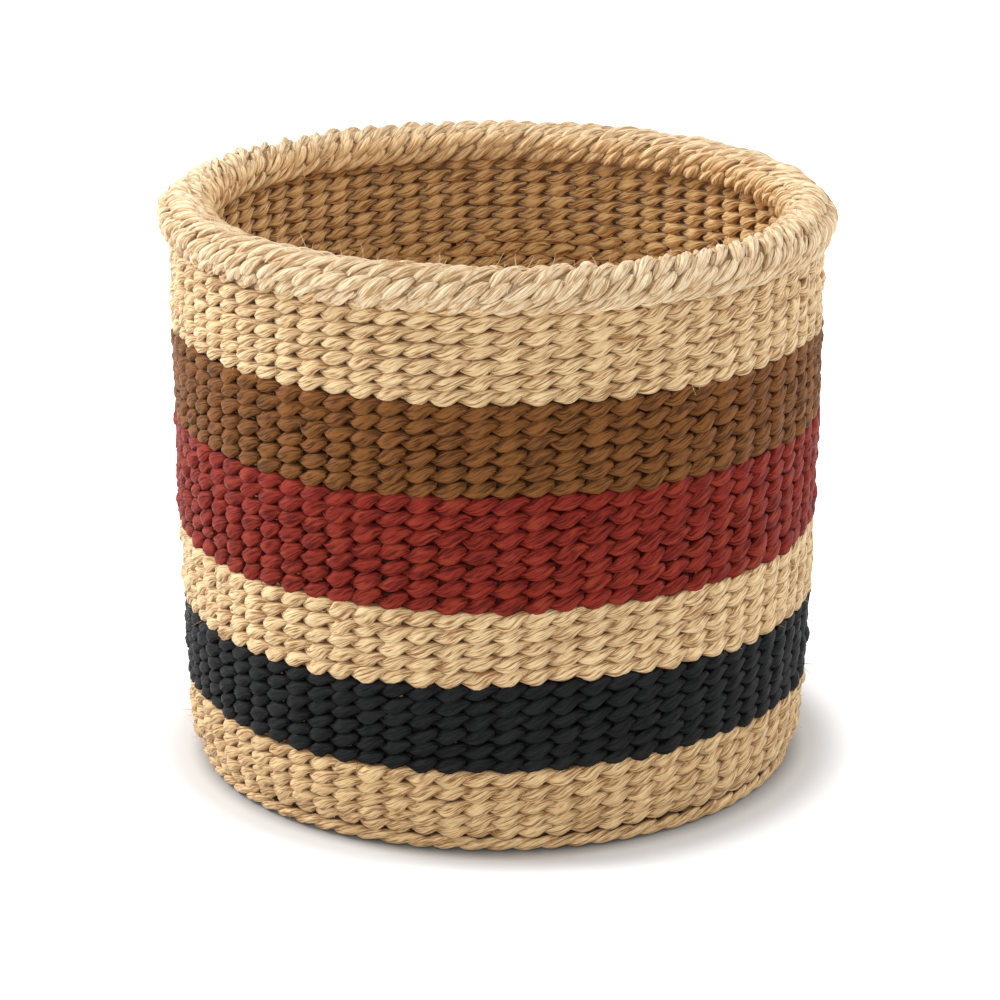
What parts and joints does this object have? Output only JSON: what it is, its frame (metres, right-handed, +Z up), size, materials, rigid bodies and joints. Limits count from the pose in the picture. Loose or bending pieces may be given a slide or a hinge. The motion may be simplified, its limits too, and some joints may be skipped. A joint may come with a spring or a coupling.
{
  "type": "twined sisal basket",
  "caption": "Round, straight-sided open basket of twined sisal with coloured bands, a rolled bound rim and a flat base on a twisted foot cord.",
  "frame": {"origin": "on the floor, under the centre of the base", "axes": "+Z up along the basket's axis; -Y towards the side that the picture shows; the wall warps stand every 5 degrees round the axis, the first 2.5 degrees from +X"},
  "size_m": [0.25, 0.25, 0.2188],
  "materials": {
    "natural_sisal": "twined natural sisal, matt",
    "brown_sisal": "twined brown dyed sisal, matt",
    "red_sisal": "twined red dyed sisal, matt",
    "black_sisal": "twined black dyed sisal, matt"
  },
  "bodies": {
    "root": {"base_weft": "natural_sisal", "black_band": "black_sisal", "brown_band": "brown_sisal", "first_added_warp_1": "natural_sisal", "first_added_warp_2": "natural_sisal", "first_added_warp_3": "natural_sisal", "first_added_warp_4": "natural_sisal", "first_added_warp_5": "natural_sisal", "first_added_warp_6": "natural_sisal", "first_added_warp_7": "natural_sisal", "first_added_warp_8": "natural_sisal", "first_added_warp_9": "natural_sisal", "foot_cord": "natural_sisal", "foot_weft": "natural_sisal", "middle_band": "natural_sisal", "red_band": "red_sisal", "rim_binding": "natural_sisal", "rim_core": "natural_sisal", "second_added_warp_1": "natural_sisal", "second_added_warp_10": "natural_sisal", "second_added_warp_11": "natural_sisal", "second_added_warp_12": "natural_sisal", "second_added_warp_13": "natural_sisal", "second_added_warp_14": "natural_sisal", "second_added_warp_15": "natural_sisal", "second_added_warp_16": "natural_sisal", "second_added_warp_17": "natural_sisal", "second_added_warp_18": "natural_sisal", "second_added_warp_2": "natural_sisal", "second_added_warp_3": "natural_sisal", "second_added_warp_4": "natural_sisal", "second_added_warp_5": "natural_sisal", "second_added_warp_6": "natural_sisal", "second_added_warp_7": "natural_sisal", "second_added_warp_8": "natural_sisal", "second_added_warp_9": "natural_sisal", "start_warp_1": "natural_sisal", "start_warp_2": "natural_sisal", "start_warp_3": "natural_sisal", "start_warp_4": "natural_sisal", "start_warp_5": "natural_sisal", "start_warp_6": "natural_sisal", "start_warp_7": "natural_sisal", "start_warp_8": "natural_sisal", "start_warp_9": "natural_sisal", "start_weft": "natural_sisal", "top_band": "natural_sisal"}
  },
  "joints": []
}
